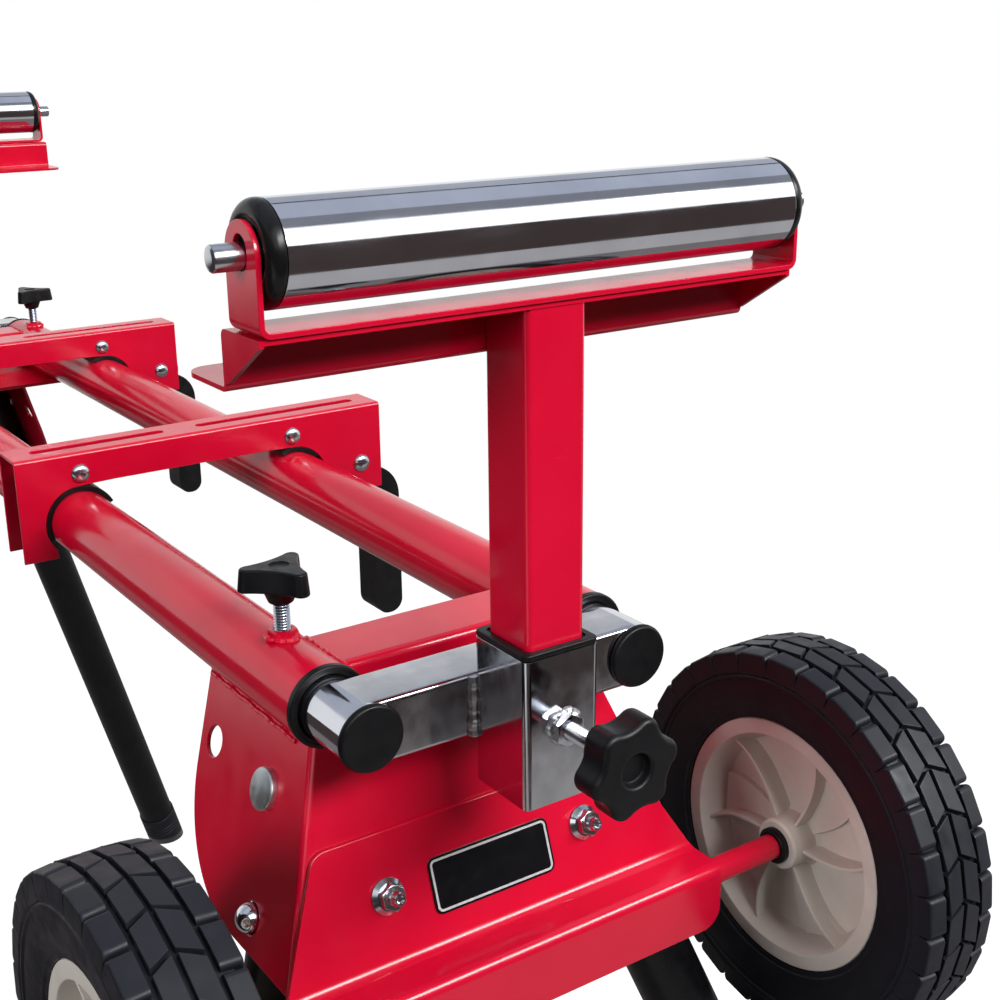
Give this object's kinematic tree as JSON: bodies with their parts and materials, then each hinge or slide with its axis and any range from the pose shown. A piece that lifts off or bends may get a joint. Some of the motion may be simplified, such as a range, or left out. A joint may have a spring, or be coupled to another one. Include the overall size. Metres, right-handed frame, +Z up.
{
  "type": "rolling miter saw stand",
  "caption": "Folding miter saw stand with tubular rails, splayed folding legs, transport wheels, sliding roller arms and cam-lever saw brackets",
  "frame": {"origin": "on the floor under the middle of the stand's box", "axes": "+X along the rails towards the wheels, +Y across to the lever side, +Z up"},
  "size_m": [1.5255, 0.768, 1.1323],
  "materials": {
    "red_powder_coat": "glossy red powder coat",
    "chrome_plate": "bright chrome plate",
    "zinc_plate": "bright zinc plate",
    "black_plastic": "satin black moulding",
    "black_paint": "satin black paint",
    "black_rubber": "matt black rubber",
    "beige_plastic": "matt beige moulding"
  },
  "bodies": {
    "frame": {"left_rail": "red_powder_coat", "right_rail": "red_powder_coat", "axle": "zinc_plate", "axle_sleeve": "red_powder_coat", "wheel_bracket": "red_powder_coat", "wheel_end_cross_tube": "red_powder_coat", "wheel_end_leg_bracket": "red_powder_coat", "wheel_end_left_bushing": "black_plastic", "wheel_end_right_bushing": "black_plastic", "far_end_cross_tube": "red_powder_coat", "far_end_leg_bracket": "red_powder_coat", "far_end_left_bushing": "black_plastic", "far_end_right_bushing": "black_plastic"},
    "wheel_end_extension": {"wheel_end_arm": "chrome_plate", "wheel_end_post_guide": "black_plastic", "wheel_end_left_tube_cap": "black_plastic", "wheel_end_right_tube_cap": "black_plastic"},
    "wheel_end_head": {"wheel_end_post": "red_powder_coat", "wheel_end_cradle": "red_powder_coat", "wheel_end_roller_axle": "zinc_plate"},
    "wheel_end_roller": {"wheel_end_roller_sleeve": "chrome_plate", "wheel_end_roller_core": "black_plastic"},
    "wheel_end_post_lock": {"wheel_end_star_knob": "black_plastic"},
    "wheel_end_arm_lock": {"wheel_end_arm_lock_knob": "black_plastic"},
    "wheel_end_saw_clamp": {"wheel_end_saw_bracket": "red_powder_coat", "wheel_end_left_saddle_pad": "black_plastic", "wheel_end_right_saddle_pad": "black_plastic"},
    "wheel_end_lever": {"wheel_end_clamp_lever": "black_plastic"},
    "wheel_end_left_leg_body": {"wheel_end_left_leg": "black_paint", "wheel_end_left_foot": "black_rubber"},
    "wheel_end_left_leg_button": {"wheel_end_left_lock_button": "zinc_plate"},
    "wheel_end_right_leg_body": {"wheel_end_right_leg": "black_paint", "wheel_end_right_foot": "black_rubber"},
    "wheel_end_right_leg_button": {"wheel_end_right_lock_button": "zinc_plate"},
    "far_end_extension": {"far_end_arm": "chrome_plate", "far_end_post_guide": "black_plastic", "far_end_left_tube_cap": "black_plastic", "far_end_right_tube_cap": "black_plastic"},
    "far_end_head": {"far_end_post": "red_powder_coat", "far_end_cradle": "red_powder_coat", "far_end_roller_axle": "zinc_plate"},
    "far_end_roller": {"far_end_roller_sleeve": "chrome_plate", "far_end_roller_core": "black_plastic"},
    "far_end_post_lock": {"far_end_star_knob": "black_plastic"},
    "far_end_arm_lock": {"far_end_arm_lock_knob": "black_plastic"},
    "far_end_saw_clamp": {"far_end_saw_bracket": "red_powder_coat", "far_end_left_saddle_pad": "black_plastic", "far_end_right_saddle_pad": "black_plastic"},
    "far_end_lever": {"far_end_clamp_lever": "black_plastic"},
    "far_end_left_leg_body": {"far_end_left_leg": "black_paint", "far_end_left_foot": "black_rubber"},
    "far_end_left_leg_button": {"far_end_left_lock_button": "zinc_plate"},
    "far_end_right_leg_body": {"far_end_right_leg": "black_paint", "far_end_right_foot": "black_rubber"},
    "far_end_right_leg_button": {"far_end_right_lock_button": "zinc_plate"},
    "left_wheel": {"left_hub": "beige_plastic", "left_tyre": "black_rubber"},
    "right_wheel": {"right_hub": "beige_plastic", "right_tyre": "black_rubber"}
  },
  "joints": [
    {"name": "wheel_end_extension_slide", "type": "slide", "parent": "frame", "child": "wheel_end_extension", "axis": [1, 0, 0], "range_m": [0, 0.41]},
    {"name": "wheel_end_post_slide", "type": "slide", "parent": "wheel_end_extension", "child": "wheel_end_head", "axis": [0, 0, 1], "range_m": [-0.12, 0.02]},
    {"name": "wheel_end_roller_spin", "type": "hinge", "parent": "wheel_end_head", "child": "wheel_end_roller", "pos_m": [0.64534, 0, 1.1073], "axis": [0, 1, 0], "continuous": true},
    {"name": "wheel_end_star_knob_turn", "type": "hinge", "parent": "wheel_end_extension", "child": "wheel_end_post_lock", "pos_m": [0.63954, 0, 0.84], "axis": [1, 0, 0], "range_deg": [0, 540]},
    {"name": "wheel_end_arm_lock_turn", "type": "hinge", "parent": "frame", "child": "wheel_end_arm_lock", "pos_m": [0.51479, -0.0922, 0.84], "axis": [0, 0, 1], "range_deg": [0, 540]},
    {"name": "wheel_end_saw_clamp_slide", "type": "slide", "parent": "frame", "child": "wheel_end_saw_clamp", "axis": [1, 0, 0], "range_m": [-0.15, 0.28]},
    {"name": "wheel_end_lever_swing", "type": "hinge", "parent": "wheel_end_saw_clamp", "child": "wheel_end_lever", "pos_m": [0.14749, 0.155, 0.8439], "axis": [1, 0, 0], "range_deg": [0, 100]},
    {"name": "wheel_end_left_leg_fold", "type": "hinge", "parent": "frame", "child": "wheel_end_left_leg_body", "pos_m": [0.52549, -0.0875, 0.76646], "axis": [0, 0.9438, -0.3305], "range_deg": [0, 104], "deforming": ["wheel_end_left_lock_button"]},
    {"name": "wheel_end_left_leg_button_press", "type": "slide", "parent": "wheel_end_left_leg_body", "child": "wheel_end_left_leg_button", "axis": [0, 0.9438, -0.3305], "range_m": [0, 0.0125], "stiffness_N_per_m": 900, "springref_m": -0.006},
    {"name": "wheel_end_right_leg_fold", "type": "hinge", "parent": "frame", "child": "wheel_end_right_leg_body", "pos_m": [0.52549, 0.0875, 0.76646], "axis": [0, 0.9438, 0.3305], "range_deg": [0, 104], "deforming": ["wheel_end_right_lock_button"]},
    {"name": "wheel_end_right_leg_button_press", "type": "slide", "parent": "wheel_end_right_leg_body", "child": "wheel_end_right_leg_button", "axis": [0, -0.9438, -0.3305], "range_m": [0, 0.0125], "stiffness_N_per_m": 900, "springref_m": -0.006},
    {"name": "far_end_extension_slide", "type": "slide", "parent": "frame", "child": "far_end_extension", "axis": [-1, 0, 0], "range_m": [0, 0.41]},
    {"name": "far_end_post_slide", "type": "slide", "parent": "far_end_extension", "child": "far_end_head", "axis": [0, 0, 1], "range_m": [-0.12, 0.02]},
    {"name": "far_end_roller_spin", "type": "hinge", "parent": "far_end_head", "child": "far_end_roller", "pos_m": [-0.65436, 0, 1.1073], "axis": [0, 1, 0], "continuous": true},
    {"name": "far_end_star_knob_turn", "type": "hinge", "parent": "far_end_extension", "child": "far_end_post_lock", "pos_m": [-0.64856, 0, 0.84], "axis": [-1, 0, 0], "range_deg": [0, 540]},
    {"name": "far_end_arm_lock_turn", "type": "hinge", "parent": "frame", "child": "far_end_arm_lock", "pos_m": [-0.52381, 0.0922, 0.84], "axis": [0, 0, 1], "range_deg": [0, 540]},
    {"name": "far_end_saw_clamp_slide", "type": "slide", "parent": "frame", "child": "far_end_saw_clamp", "axis": [1, 0, 0], "range_m": [-0.16, 0.22]},
    {"name": "far_end_lever_swing", "type": "hinge", "parent": "far_end_saw_clamp", "child": "far_end_lever", "pos_m": [-0.30251, 0.155, 0.8439], "axis": [1, 0, 0], "range_deg": [0, 100]},
    {"name": "far_end_left_leg_fold", "type": "hinge", "parent": "frame", "child": "far_end_left_leg_body", "pos_m": [-0.53451, -0.0323, 0.76728], "axis": [0, -0.9537, 0.3007], "range_deg": [0, 104], "deforming": ["far_end_left_lock_button"]},
    {"name": "far_end_left_leg_button_press", "type": "slide", "parent": "far_end_left_leg_body", "child": "far_end_left_leg_button", "axis": [0, 0.9537, -0.3007], "range_m": [0, 0.0125], "stiffness_N_per_m": 900, "springref_m": -0.006},
    {"name": "far_end_right_leg_fold", "type": "hinge", "parent": "frame", "child": "far_end_right_leg_body", "pos_m": [-0.53451, 0.0323, 0.76728], "axis": [0, -0.9537, -0.3007], "range_deg": [0, 104], "deforming": ["far_end_right_lock_button"]},
    {"name": "far_end_right_leg_button_press", "type": "slide", "parent": "far_end_right_leg_body", "child": "far_end_right_leg_button", "axis": [0, -0.9537, -0.3007], "range_m": [0, 0.0125], "stiffness_N_per_m": 900, "springref_m": -0.006},
    {"name": "left_wheel_spin", "type": "hinge", "parent": "frame", "child": "left_wheel", "pos_m": [0.62629, -0.2336, 0.6748], "axis": [0, 1, 0], "continuous": true},
    {"name": "right_wheel_spin", "type": "hinge", "parent": "frame", "child": "right_wheel", "pos_m": [0.62629, 0.2336, 0.6748], "axis": [0, 1, 0], "continuous": true}
  ]
}
